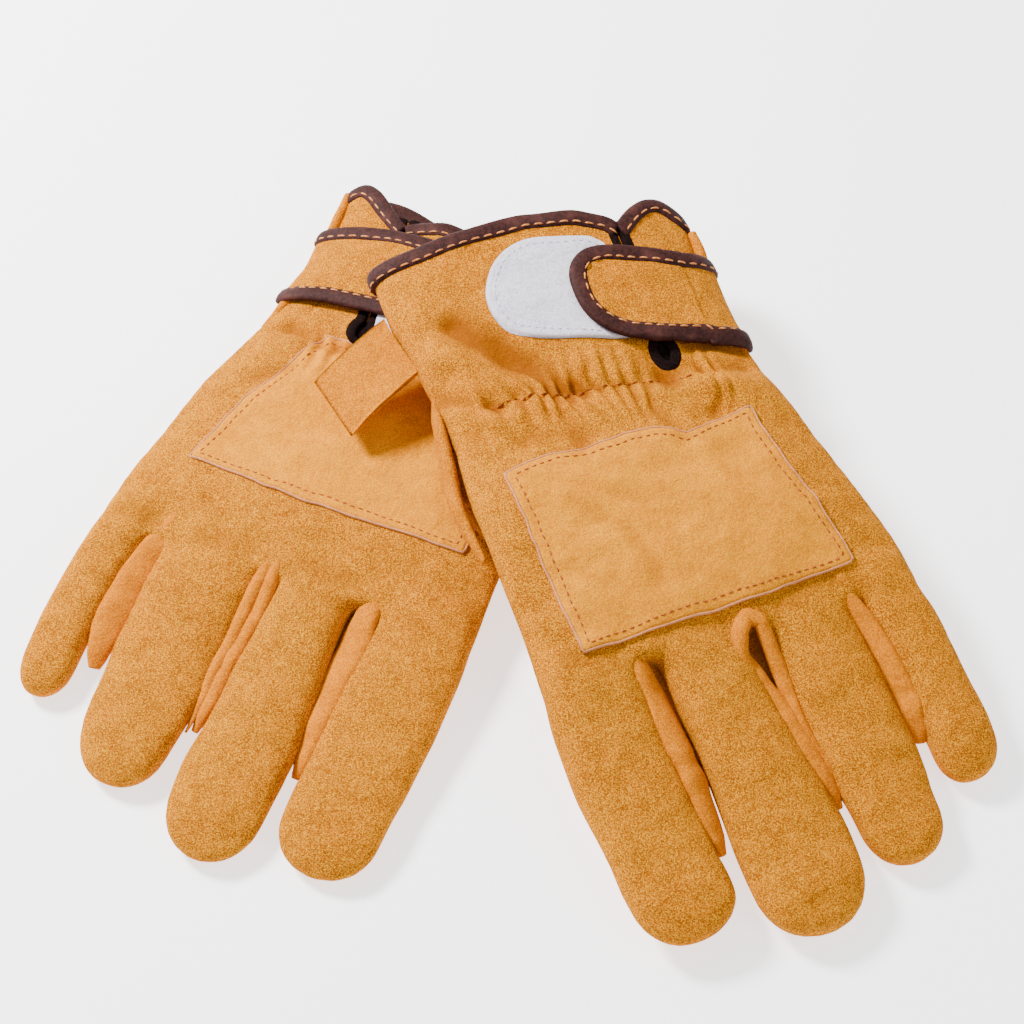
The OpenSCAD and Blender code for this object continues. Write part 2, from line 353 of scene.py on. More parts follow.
def relax(points, faces, rounds, amount=0.5):
    """Move each point towards the middle of its neighbours."""
    f = np.array([g for g in faces if len(g) == 4])
    a = np.concatenate([f[:, i] for i in range(4)])
    b = np.concatenate([f[:, (i + 1) % 4] for i in range(4)])
    n = len(points)
    count = np.maximum(np.bincount(a, minlength=n) + np.bincount(b, minlength=n), 1)
    p = points.copy()
    for _ in range(rounds):
        for i in range(3):
            total = np.bincount(a, p[b, i], n) + np.bincount(b, p[a, i], n)
            p[:, i] += amount * (total / count - p[:, i])
    return p


# ---------------------------------------------------------------- the hide
def finger_rings(spec):
    """A finger's sections, from its root to a rounded tip."""
    edges, tip_y, tip_h = spec
    left = along([e[0] for e in edges], [e[1] for e in edges], 5)
    right = along([e[0] for e in edges], [e[2] for e in edges], 5)
    run = ROOT_Y - tip_y
    rings = []
    tip = TIP_FROM + TIP_SHARE * np.linspace(0.05, 1, 16) ** 0.8
    for u in np.concatenate([np.linspace(0, TIP_FROM, 40), tip]):
        t = np.clip((u - TIP_FROM) / TIP_SHARE, 0, 0.998)
        close = (1 - t ** 2.15) ** (1 / 2.15)
        near, far = min(u / 0.45, 1), max((u - 0.45) / 0.55, 0)
        zb = ROOT_Z[0] + (MID_Z[0] - ROOT_Z[0]) * near - MID_Z[0] * far
        zt = ROOT_Z[1] + (MID_Z[1] - ROOT_Z[1]) * near + (tip_h - MID_Z[1]) * far
        y = ROOT_Y - run * u
        w, h = (right(y) - left(y)) * close, (zt - zb) * close ** 0.7
        x, z = oval(np.linspace(0, 2 * np.pi, FINGER_SIDES, endpoint=False), w, h)
        mid = (zb + zt) / 2 - (1 - close ** 0.7) * 1.5
        cx = (left(y) + right(y)) / 2
        rings.append(np.stack([cx + x, np.full(FINGER_SIDES, y), mid + z], axis=1))
    return rings


def hand_rings(side):
    rings = []
    for y in np.arange(176, -3.1, -2.0):
        l, r, b, t = hand_l(y), hand_r[side](y), hand_b(y), hand_t(y)
        x, z = oval(np.linspace(0, 2 * np.pi, HAND_SIDES, endpoint=False), r - l, t - b)
        rings.append(np.stack([(l + r) / 2 + x, np.full(HAND_SIDES, y), (b + t) / 2 + z], axis=1))
    return rings


def make_skin(side):
    """The whole glove's outer surface, closed at the cuff."""
    parts = [tube(hand_rings(side))] + [tube(finger_rings(f)) for f in FINGERS[side].values()]
    voxel = 1.35
    p, f = with_modifiers(*merge(parts), [("REMESH", {"mode": "VOXEL", "voxel_size": voxel})])
    p = relax(p, f, 8)
    p, f = with_modifiers(p, f, [("SUBSURF", {"levels": 1, "render_levels": 1})])
    return p, f


def slit_edges(y):
    """The slit's two sides at y."""
    t = np.clip((y - KEYHOLE[1]) / (150 - KEYHOLE[1]), 0, 1)
    left = KEYHOLE[0] - 1.2 + (SLIT_TOP[0] - KEYHOLE[0] + 1.2) * t
    right = KEYHOLE[0] + 1.2 + (SLIT_TOP[1] - KEYHOLE[0] - 1.2) * t
    return left, right


def cut_skin(p, f, side):
    """The faces that stay: short of the cuff's edge and clear of the slit."""
    f = np.array([g for g in f if len(g) == 4])
    c = p[f].mean(axis=1)
    top = c[:, 2] > seam_z(c[:, 1])
    back_edge, palm_edge = EDGES[side]
    past = np.where(top, c[:, 1] > back_edge(c[:, 0]) - 0.6, c[:, 1] > palm_edge(c[:, 0]) - 0.6)
    left, right = slit_edges(c[:, 1])
    slit = top & (c[:, 1] > KEYHOLE[1]) & (c[:, 0] > left) & (c[:, 0] < right)
    key = ((c[:, 0] - KEYHOLE[0]) / KEY_SIZE[0]) ** 2 + ((c[:, 1] - KEYHOLE[1]) / KEY_SIZE[1]) ** 2
    keep = ~past & ~slit & ~(top & (key < 1))
    return f[keep & top], f[keep & ~top]


def compact(p, f):
    """The faces with only the points they use."""
    used = np.unique(f)
    new = np.zeros(len(p), int)
    new[used] = np.arange(len(used))
    return p[used], new[f].tolist()


class Shape:
    """The surface that a glove's other pieces are laid on, before folds and wrinkles."""

    def __init__(self, p, f, side):
        self.tree = BVHTree.FromPolygons(p.tolist(), np.asarray(f).tolist())
        self.side = side
        self.seed = LOOK[side]["seed"]

    def drop(self, x, y):
        hit = self.tree.ray_cast(Vector((x, y, 90)), Vector((0, 0, -1)))
        if hit[0] is None:
            near = self.tree.find_nearest(Vector((x, y, 18)))
            return np.array(near[0]), np.array((0, 0, 1.0))
        n = np.array(hit[1])
        return np.array(hit[0]), n if n[2] > 0 else -n

    def lay(self, xy):
        got = [self.drop(float(x), float(y)) for x, y in xy]
        return np.array([g[0] for g in got]), np.array([g[1] for g in got])

    def relief(self, p):
        """Height of the folds and of the gathers on the back, by place."""
        xy, flat = p[:, :2], np.column_stack([p[:, :2], np.zeros(len(p))])
        dz = np.zeros(len(p))
        wander = 1 + 0.35 * noise_at(flat, 9, self.seed + 5)
        for points, height, width in FOLDS[self.side]:
            d, _ = polyline_distance(xy, points)
            dz += height * wander * np.exp(-0.5 * (d / width) ** 2)
        d, s = polyline_distance(xy, GATHER)
        inside = step(p[:, 0], -58, -50) * (1 - step(p[:, 0], 20, 30))
        line = np.interp(p[:, 0], [g[0] for g in GATHER], [g[1] for g in GATHER])
        across = p[:, 1] - line
        phase = s / PUCKER + 1.1 * noise_at(flat, 19, self.seed + 6) + 0.02 * across + 0.1 * np.sign(across)
        size = 1 + 0.9 * noise_at(flat, 13, self.seed + 7)
        reach = np.exp(-0.5 * ((d - 2.0) / 6.2) ** 2)
        dz += inside * (0.7 * np.exp(-0.5 * ((d - 7.0) / 4.5) ** 2) - 1.1 * np.exp(-0.5 * (d / 2.4) ** 2))
        dz += inside * 0.85 * size * np.cos(2 * np.pi * phase) * reach
        return dz

    def painted_fold_shade(self, p):
        """How much painted shade a place gets, from 0 to 1: more the lower it lies in a fold's valley on
        the back.
        """
        top = step(p[:, 2] - seam_z(p[:, 1]), -2, 5)
        return top * np.clip(-self.relief(p) / 2.6, 0, 1)

    def fold(self, p):
        """Folds, gathers and small unevenness, the same for everything at one place."""
        p = np.array(p, float)
        flat = np.column_stack([p[:, :2], np.zeros(len(p))])
        top = step(p[:, 2] - seam_z(p[:, 1]), -2, 5)
        dz = self.relief(p)
        finger = 1 - step(p[:, 1], -14, 4)
        dz += 1.1 * noise_at(flat, 30, self.seed + 1) + 0.6 * noise_at(flat, 13, self.seed + 2)
        dz += finger * 0.5 * noise_at(flat, (16, 5.5, 9), self.seed + 3)
        dz += (1 - finger) * 0.5 * noise_at(flat, (12, 6, 9), self.seed + 4)
        q = p.copy()
        q[:, 2] += top * dz + (1 - top) * 0.3 * noise_at(flat, 14, self.seed + 8)
        q[:, 0] += 0.9 * noise_at(p, (20, 17, 30), self.seed + 9)
        q[:, 1] += 0.6 * noise_at(p, (17, 22, 30), self.seed + 10)
        return q


# ---------------------------------------------------------------- placing
def turn_matrix(side):
    rz, rx, ry = (math.radians(a) for a in LOOK[side]["turn"])
    z = np.array([[math.cos(rz), -math.sin(rz), 0], [math.sin(rz), math.cos(rz), 0], [0, 0, 1]])
    x = np.array([[1, 0, 0], [0, math.cos(rx), -math.sin(rx)], [0, math.sin(rx), math.cos(rx)]])
    y = np.array([[math.cos(ry), 0, math.sin(ry)], [0, 1, 0], [-math.sin(ry), 0, math.cos(ry)]])
    return z @ x @ y @ np.diag([LOOK[side]["mirror"], 1.0, LOOK[side]["press"]])


def place(p, side):
    """From a glove's own frame to the row frame, in metres. The pull loop's hinge fixes it."""
    m = turn_matrix(side)
    hinge = np.array(JOINTS[side + "_loop_swing"]["pos_m"])
    return hinge + (np.asarray(p, float) - np.array(LOOP_SEAM)) @ m.T * MM


def piece(name, side, p, f, material, slot, nodes, body="glove", shape=None, soft=True):
    # Painted fold shade, kept on each point for the material: darker in the folds' valleys, where shade
    # falls.
    fold_shade_amount = shape.painted_fold_shade(np.asarray(p, float))
    p = shape.fold(p) if soft else np.asarray(p, float)
    mesh = plain_mesh(place(p, side), f, f"{side}_{name}")
    if LOOK[side]["mirror"] < 0:
        mesh.flip_normals()
    mesh.polygons.foreach_set("use_smooth", [True] * len(mesh.polygons))
    warm = mesh.attributes.new("warm", "FLOAT", "POINT")
    painted_fold_shade = mesh.attributes.new("painted_fold_shade", "FLOAT", "POINT")
    warm.data.foreach_set("value", step(p[:, 1], *WARM_FROM).astype(np.float32))
    painted_fold_shade.data.foreach_set("value", fold_shade_amount.astype(np.float32))
    mesh.materials.append(material)
    obj = bpy.data.objects.new(f"{side}_{name}_soft", mesh)
    bpy.context.scene.collection.objects.link(obj)
    if body == "strap":
        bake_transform(obj)
    else:
        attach(obj, f"{side}_{body}")
    for node in nodes:
        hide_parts(f"{side}_{node}")
    return obj


# ---------------------------------------------------------------- sewn layers
def slab(top, bottom, n, k):
    """A closed piece from a top and a bottom grid of n by k points."""
    up = np.array(grid_faces(n, k, wrap=False))
    faces = up.tolist() + (up[:, ::-1] + n * k).tolist()
    border = [i * k for i in range(n)] + [(n - 1) * k + j for j in range(1, k)]
    border += [i * k + k - 1 for i in range(n - 2, -1, -1)] + list(range(k - 2, 0, -1))
    faces += [[p, p + n * k, q + n * k, q] for p, q in zip(border, border[1:] + border[:1])]
    return np.vstack([top, bottom]), faces


def plate(shape, outline, thick, lift=0.0, edge=1.3, pitch=1.3):
    """A layer on the back: a closed slab with a rounded edge, over a star-shaped outline."""
    rim = resample(outline, pitch, closed=True)
    centre = rim.mean(axis=0)
    reach = np.linalg.norm(rim - centre, axis=1)
    count = int(reach.max() / (pitch * 1.15))
    inside = np.linspace(0.04, 1 - 2.2 / reach.max(), count)
    t = np.concatenate([inside, 1 - np.array([1.4, 0.8, 0.35, 0]) / reach.max()])
    k = len(rim)
    xy = (centre + t[:, None, None] * (rim - centre)).reshape(-1, 2)
    base, normal = shape.lay(xy)
    away = ((1 - t)[:, None] * reach[None, :]).reshape(-1)
    round_off = np.sqrt(np.clip(1 - (1 - np.clip(away / edge, 0, 1)) ** 2, 0, 1))
    low, high = lift - 0.3, lift + thick
    top = base + np.column_stack([np.zeros((len(xy), 2)), low + (high - low) * (0.25 + 0.75 * round_off)])
    bottom = base + np.array([0, 0, low])
    n = len(t)
    up = np.array(grid_faces(n, k))
    faces = up.tolist() + (up[:, ::-1] + n * k).tolist()
    last, under = (n - 1) * k, (2 * n - 1) * k
    faces += [[last + i, under + i, under + (i + 1) % k, last + (i + 1) % k] for i in range(k)]
    faces.append(list(range(k))[::-1])
    faces.append([n * k + i for i in range(k)])
    return np.vstack([top, bottom]), faces


def sweep(path, normals, wide, thick, sides=14, power=2.6):
    """A flattened tube along a path, its broad side square to normals."""
    path, normals = np.asarray(path, float), np.asarray(normals, float)
    tangent = np.gradient(path, axis=0)
    tangent /= np.maximum(np.linalg.norm(tangent, axis=1), 1e-9)[:, None]
    across = np.cross(tangent, normals)
    across /= np.maximum(np.linalg.norm(across, axis=1), 1e-9)[:, None]
    up = np.cross(across, tangent)
    a = np.linspace(0, 2 * np.pi, sides, endpoint=False)
    cx, cz = oval(a, 1, 1, power)
    wide = np.broadcast_to(wide, len(path))[:, None, None]
    thick = np.broadcast_to(thick, len(path))[:, None, None]
    rings = path[:, None] + wide * cx[None, :, None] * across[:, None]
    rings = rings + thick * cz[None, :, None] * up[:, None]
    return tube(rings)


def stitches(path, normals, pitch, length=3.2, radius=0.42, lift=0.0):
    """A row of stitches: one small rounded thread for each."""
    path, normals = np.asarray(path, float), np.asarray(normals, float)
    s = np.concatenate([[0], np.cumsum(np.linalg.norm(np.diff(path, axis=0), axis=1))])
    spots = np.arange(pitch / 2, s[-1], pitch)
    at = np.stack([np.interp(spots, s, path[:, i]) for i in range(3)], axis=1)
    n = np.stack([np.interp(spots, s, normals[:, i]) for i in range(3)], axis=1)
    step_on = np.stack([np.interp(spots + 0.2, s, path[:, i]) for i in range(3)], axis=1)
    t = step_on - at
    t /= np.maximum(np.linalg.norm(t, axis=1), 1e-9)[:, None]
    parts = []
    u = np.linspace(-1, 1, 7)
    for p0, d, up in zip(at, t, n):
        line = p0 + u[:, None] * d * length / 2 + up * (lift - 0.35 * u[:, None] ** 2)
        size = 2 * radius * np.sqrt(np.clip(1 - u ** 4, 0.03, 1))
        parts.append(sweep(line, np.tile(up, (7, 1)), size, size, sides=7, power=2))
    return merge(parts)


def ring_point(side, y, angle):
    """A place on the hand's section at y, and the way out of it."""
    l, r, b, t = hand_l(y), hand_r[side](y), hand_b(y), hand_t(y)
    a = np.array([angle, angle + 0.01])
    x, z = oval(a, r - l, t - b)
    n = np.array([z[1] - z[0], 0, -(x[1] - x[0])])
    n = n / max(np.linalg.norm(n), 1e-9)
    at = np.array([(l + r) / 2 + x[0], y, (b + t) / 2 + z[0]])
    return at, n


def cuff_path(side):
    """Round the cuff from one side of the slit to the other, as points and normals."""
    points, normals = [], []
    back_edge, palm_edge = EDGES[side]
    for angle in np.linspace(0, 2 * np.pi, 721)[:-1]:
        y = 150.0
        for _ in range(3):
            at, n = ring_point(side, y, angle)
            w = step(n[2], -0.5, 0.5)
            y = w * back_edge(at[0]) + (1 - w) * palm_edge(at[0])
        points.append(at)
        normals.append(n)
    p, n = np.array(points), np.array(normals)
    top = n[:, 2] > 0.3
    split = np.argmin(np.where(top, np.abs(p[:, 0] - SLIT_X), 1e9))
    p, n = np.roll(p, -split, axis=0), np.roll(n, -split, axis=0)
    keep = ~((n[:, 2] > 0.3) & (np.abs(p[:, 0] - SLIT_X) < 0.7))
    p, n = p[keep], n[keep]
    both = resample(np.hstack([p, n]), 1.1)
    return both[:, :3], both[:, 3:]


def slit_path(shape):
    """Down one side of the slit, round the keyhole and back."""
    y = np.linspace(148, KEYHOLE[1] + 4, 40)
    left, right = slit_edges(y)
    a = np.linspace(1.15, 2 * np.pi - 1.15, 22) + np.pi / 2
    kx = KEYHOLE[0] + (KEY_SIZE[0] + 0.9) * np.cos(a)
    ky = KEYHOLE[1] + (KEY_SIZE[1] + 0.9) * np.sin(a)
    xy = np.vstack([
        np.column_stack([left - 1.2, y]), np.column_stack([kx, ky]),
        np.column_stack([right + 1.2, y])[::-1],
    ])
    xy = resample(xy, 1.0)
    return shape.lay(xy)


def strap_point(shape, s, v):
    """A place on the strap: s from the side seam up and over the wrist, v across it."""
    k = STRAP[shape.side]
    x0, y0 = k["root"]
    if s < STRAP_SIDE:
        angle = (s / STRAP_SIDE) * math.pi / 2
        y = y0 + v - 2.0 * (1 - s / STRAP_SIDE)
        centre = Vector((x0 - STRAP_TURN[0], y, STRAP_TURN[1]))
        out = Vector((math.cos(angle), 0, math.sin(angle)))
        hit = shape.tree.ray_cast(centre + 70 * out, -out)
        return np.array(hit[0]), np.array(out)
    run = s - STRAP_SIDE
    x = x0 - STRAP_TURN[0] - run * math.cos(k["turn"]) + v * math.sin(k["turn"]) * step(run, 0, 20)
    x -= k["slant"] * max(v, -k["half"]) * step(run, 8, 34)
    y = y0 + v + (run + 2) * math.sin(k["turn"]) * 0.98
    return shape.drop(float(x), float(y))


def strap_size(shape, inset):
    """Where the straight part ends, and half the width, inset from the edge."""
    k = STRAP[shape.side]
    return STRAP_SIDE + k["len"] - STRAP_TURN[0] - inset - STRAP_TIP, k["half"] - inset


def strap_sheet(shape, lift, thick, inset, start=0.0):
    """The strap as a closed slab: a grid from the seam to the rounded tip."""
    end, half = strap_size(shape, inset)
    tip = end + STRAP_TIP * np.sin(np.linspace(0.06, 1, 18) * np.pi / 2)
    s = np.concatenate([np.linspace(start, end, 44), tip])
    v = np.linspace(-1, 1, 32)
    top, normal = [], []
    for si in s:
        t = np.clip((si - end) / STRAP_TIP, 0, 0.996)
        for vi in v:
            at, n = strap_point(shape, si, vi * half * (1 - t ** 2.6) ** (1 / 2.6))
            top.append(at)
            normal.append(n / max(np.linalg.norm(n), 1e-9))
    top, normal = np.array(top), np.array(normal)
    return slab(top + normal * (lift + thick), top + normal * lift, len(s), len(v))


def strap_border(shape, inset, lift):
    """Along the strap's edge, from the seam round the tip and back."""
    end, half = strap_size(shape, inset)
    s = np.linspace(0.5, end, 40)
    pairs = [(si, half) for si in s]
    for a in np.linspace(1, -1, 41)[1:-1] * np.pi / 2:
        v = np.sign(math.sin(a)) * abs(math.sin(a)) ** 0.8
        pairs.append((end + STRAP_TIP * abs(math.cos(a)) ** 0.8, v * half))
    pairs += [(si, -half) for si in s[::-1]]
    got = [strap_point(shape, float(a), float(b)) for a, b in pairs]
    p = np.array([g[0] for g in got])
    n = np.array([g[1] / np.linalg.norm(g[1]) for g in got])
    both = resample(np.hstack([p + n * lift, n]), 1.1)
    return both[:, :3], both[:, 3:]


def strip(points, wide, thick, seed, turn=None):
    """A roll of hide along a path, slightly uneven."""
    path = resample(np.column_stack([points, wide, thick]), 1.0)
    w, h = path[:, 3], path[:, 4]
    p = path[:, :3].copy()
    p[:, 0] += 0.5 * noise_at(p, 8, seed)
    p[:, 2] += 0.4 * noise_at(p, 5, seed + 1)
    swell = 1 + 0.08 * noise_at(p, 5, seed + 2)
    up = np.tile([0, 0, 1.0] if turn is None else turn, (len(p), 1))
    return sweep(p, up, w * swell, h * swell, sides=20, power=2.2)


def pull_loop(seed):
    """A strip of hide folded double: two layers and the bend at the outer end."""
    root, tip = np.array(LOOP_ROOT), np.array(LOOP_TIP)
    k, half = 26, 26
    s = np.concatenate([np.linspace(0, 1, half), np.linspace(1, 0, half)])
    upper = np.concatenate([np.ones(half), -np.ones(half)])
    outer, inner = [], []
    for si, up in zip(s, upper):
        for v in np.linspace(0, 1, k):
            a = root[0] + (root[1] - root[0]) * v
            b = tip[0] + (tip[1] - tip[0]) * v
            base = a + (b - a) * si + np.array([0, 0, 1.1 * math.sin(math.pi * si)])
            gap = 0.9 * math.sqrt(max(1 - si ** 6, 0)) * min(1, si * 5 + 0.25)
            base[2] += up * gap
            rise = np.array([0, 0, up * HIDE * 0.5]) * math.sqrt(max(1 - si ** 12, 0))
            reach = (b - a) / np.linalg.norm(b - a) * HIDE * 0.5 * si ** 8
            outer.append(base + rise + reach)
            inner.append(base - rise - reach)
    p, faces = slab(np.array(inner), np.array(outer), 2 * half, k)
    p[:, 2] += 0.5 * noise_at(p, 12, seed)
    return p, faces


def thumb_half(upper, seed):
    """One of the thumb's two hides, as an open trough with a thickness."""
    y = [s[1] for s in THUMB]
    fits = [along(y, [s[i] for s in THUMB], 3) for i in (0, 2, 3, 4, 5)]
    ys = np.concatenate([np.linspace(98, 12, 50), np.linspace(11, 6.4, 10)])
    a = np.linspace(0.0, np.pi, 30) if upper else np.linspace(np.pi, 2 * np.pi, 30)
    rings = []
    for grow in (0.0, -HIDE):
        for yi in ys:
            x, w, zb, zt, turn = (float(g(yi)) for g in fits)
            ox, oz = oval(a, max(w + 2 * grow, 0.5), max(zt - zb + 2 * grow, 0.5))
            t = math.radians(turn)
            rings.append(np.stack([x + ox * math.cos(t), yi + ox * math.sin(t),
                (zb + zt) / 2 + oz], axis=1))
    n = len(ys)
    p, faces = slab(np.array(rings[:n]).reshape(-1, 3), np.array(rings[n:]).reshape(-1, 3), n, 30)
    p[:, 2] += 0.25 * noise_at(p, 11, seed)
    return p, faces


# ---------------------------------------------------------------- materials
def linear(rgb):
    out = []
    for v in rgb:
        v /= 255
        out.append(v / 12.92 if v <= 0.04045 else ((v + 0.055) / 1.055) ** 2.4)
    return (*out, 1.0)


class Nodes:
    def __init__(self, name, rough, sheen=0.0):
        self.material = bpy.data.materials.new(name)
        self.material.use_nodes = True
        self.tree = self.material.node_tree
        self.shader = self.tree.nodes["Principled BSDF"]
        self.shader.inputs["Roughness"].default_value = rough
        self.shader.inputs["Specular IOR Level"].default_value = 0.06
        self.shader.inputs["Sheen Weight"].default_value = sheen
        self.shader.inputs["Sheen Roughness"].default_value = 0.5
        self.place = self.tree.nodes.new("ShaderNodeTexCoord").outputs["Object"]

    def noise(self, scale, detail=3.0, rough=0.6, stretch=None):
        node = self.tree.nodes.new("ShaderNodeTexNoise")
        node.inputs["Scale"].default_value = scale
        node.inputs["Detail"].default_value = detail
        node.inputs["Roughness"].default_value = rough
        source = self.place
        if stretch:
            mapping = self.tree.nodes.new("ShaderNodeMapping")
            mapping.inputs["Scale"].default_value = stretch
            self.tree.links.new(self.place, mapping.inputs["Vector"])
            source = mapping.outputs["Vector"]
        self.tree.links.new(source, node.inputs["Vector"])
        return node.outputs["Fac"]

    def attribute(self, name):
        node = self.tree.nodes.new("ShaderNodeAttribute")
        node.attribute_name = name
        return node.outputs["Fac"]

    def ramp(self, value, stops):
        node = self.tree.nodes.new("ShaderNodeValToRGB")
        ramp = node.color_ramp
        while len(ramp.elements) < len(stops):
            ramp.elements.new(0.5)
        for element, (at, colour) in zip(ramp.elements, stops):
            element.position = at
            element.color = colour
        self.tree.links.new(value, node.inputs["Fac"])
        return node.outputs["Color"]

    def mix(self, factor, a, b, mode="MIX"):
        node = self.tree.nodes.new("ShaderNodeMix")
        node.data_type = "RGBA"
        node.blend_type = mode
        for value, socket in ((factor, node.inputs[0]), (a, node.inputs[6]), (b, node.inputs[7])):
            if hasattr(value, "is_output"):
                self.tree.links.new(value, socket)
            else:
                socket.default_value = value
        return node.outputs[2]

    def bump(self, height, strength, distance, after=None):
        node = self.tree.nodes.new("ShaderNodeBump")
        node.inputs["Strength"].default_value = strength
        node.inputs["Distance"].default_value = distance
        self.tree.links.new(height, node.inputs["Height"])
        if after is not None:
            self.tree.links.new(after, node.inputs["Normal"])
        return node.outputs["Normal"]

    def done(self, colour, normal):
        self.tree.links.new(colour, self.shader.inputs["Base Color"])
        self.tree.links.new(normal, self.shader.inputs["Normal"])
        return self.material


def grey(v):
    return (v, v, v, 1.0)


def suede(name, base, warm, dark, light, speckle=1.0, grain=1.0):
    m = Nodes(name, 0.95)
    warmth = m.attribute("warm")
    blotch = m.ramp(m.noise(40, 3.0, 0.6), [(0.38, grey(0)), (0.62, grey(1))])
    ground = m.mix(m.mix(0.4, blotch, warmth), linear(base), linear(warm))
    patches = m.ramp(m.noise(170, 4.0, 0.65), [(0.4, grey(0.5 * speckle)), (0.58, grey(0))])
    ground = m.mix(patches, ground, linear(dark))
    fine = m.noise(2300, 3.0, 0.7)
    dots = m.ramp(fine, [(0.4, grey(0.95 * speckle)), (0.52, grey(0))])
    ground = m.mix(dots, ground, linear(dark))
    shine = m.ramp(fine, [(0.51, grey(0)), (0.62, grey(0.85 * speckle))])
    ground = m.mix(shine, ground, linear(light))
    # Painted shade: the hide is darkened towards the dark colour in the folds' valleys, where shade falls.
    fold_shade_mix = m.ramp(m.attribute("painted_fold_shade"), [(0.1, grey(0)), (0.9, grey(0.85))])
    ground = m.mix(fold_shade_mix, ground, linear(dark))
    crease = m.bump(m.noise(95, 5.0, 0.6), 0.5, 0.0025)
    coarse = m.bump(m.noise(420, 5.0, 0.7), 0.7 * grain, 0.0012, crease)
    return m.done(ground, m.bump(fine, 0.8 * grain, 0.0009, coarse))


def felt(name, base, dark, sheen=0.4):
    m = Nodes(name, 0.98, sheen)
    fine = m.noise(1300, 5.0, 0.8)
    clump = m.noise(330, 3.0, 0.6)
    colour = m.mix(m.ramp(fine, [(0.35, grey(1)), (0.6, grey(0))]), linear(base), linear(dark))
    colour = m.mix(m.ramp(clump, [(0.3, grey(0.45)), (0.55, grey(0))]), colour, linear(dark))
    coarse = m.bump(clump, 0.6, 0.0012)
    return m.done(colour, m.bump(fine, 0.9, 0.0008, coarse))


def tape(name, base, dark, light):
    m = Nodes(name, 0.7)
    m.shader.inputs["Specular IOR Level"].default_value = 0.15
    fine = m.noise(900, 4.0, 0.7)
    worn = m.noise(150, 4.0, 0.6)
    colour = m.mix(m.ramp(fine, [(0.38, grey(0.8)), (0.58, grey(0))]), linear(base), linear(dark))
    colour = m.mix(m.ramp(worn, [(0.52, grey(0)), (0.72, grey(0.55))]), colour, linear(light))
    coarse = m.bump(worn, 0.4, 0.0006)
    return m.done(colour, m.bump(fine, 0.5, 0.0003, coarse))


def thread(name, base, dark):
    m = Nodes(name, 0.7)
    twist = m.noise(2200, 2.0, 0.5, (1.0, 0.4, 1.0))
    colour = m.mix(m.ramp(twist, [(0.4, grey(0.8)), (0.6, grey(0))]), linear(base), linear(dark))
    return m.done(colour, m.bump(twist, 0.5, 0.0002))


def make_materials():
    return {
        "back": suede("suede_back", (218, 132, 0), (222, 124, 0), (146, 74, 0), (252, 182, 20)),
        "palm": suede("suede_palm", (212, 124, 0), (214, 120, 0), (146, 72, 0), (244, 168, 0), 0.8, 0.8),
        "strip": suede("suede_strip", (214, 124, 0), (216, 122, 0), (150, 72, 0),
            (242, 160, 0), 0.6, 0.6),
        "patch": suede("suede_patch", (226, 142, 0), (226, 136, 0), (166, 88, 0),
            (250, 180, 0), 0.55, 0.6),
        "loop": suede("suede_loop", (218, 128, 0), (220, 126, 0), (152, 76, 0), (246, 168, 0), 0.7, 0.8),
        "raw": suede("suede_raw_edge", (206, 140, 92), (206, 136, 88), (150, 88, 50),
            (226, 164, 120), 0.5, 0.5),
        "binding": tape("binding_tape", (58, 26, 22), (24, 8, 6), (86, 48, 42)),
        "pad": felt("pile_pad", (252, 248, 255), (206, 196, 214)),
        "frayed_edge_and_shade": felt("keyhole_edge_and_shade", (34, 20, 18), (8, 4, 4), 0.0),
        "elastic": felt("elastic_weave", (222, 218, 206), (160, 154, 142)),
        "hooks": felt("hook_pad", (52, 52, 56), (16, 16, 18), 0.0),
        "thread": thread("thread_peach", (222, 150, 88), (160, 88, 40)),
        "thread_patch": thread("thread_tan", (168, 84, 44), (98, 40, 18)),
        "thread_pad": thread("thread_white", (214, 206, 222), (160, 152, 176)),
    }


# ---------------------------------------------------------------- a glove
def add_skin(side, mats):
    p, f = make_skin(side)
    shape = Shape(p, f, side)
    back, palm = cut_skin(p, f, side)
    thick = [("SOLIDIFY", {"thickness": HIDE, "offset": -1.0, "use_even_offset": False})]
    for name, faces, material, slot, node in (
        ("back", back, "back", "hide", "back_panel"),
        ("palm", palm, "palm", "palm_hide", "palm_panel"),
    ):
        bp, bf = compact(p, faces)
        bp, bf = with_modifiers(shape.fold(bp), bf, thick)
        piece(name, side, bp, bf, mats[material], slot, [node], shape=shape, soft=False)
    return shape


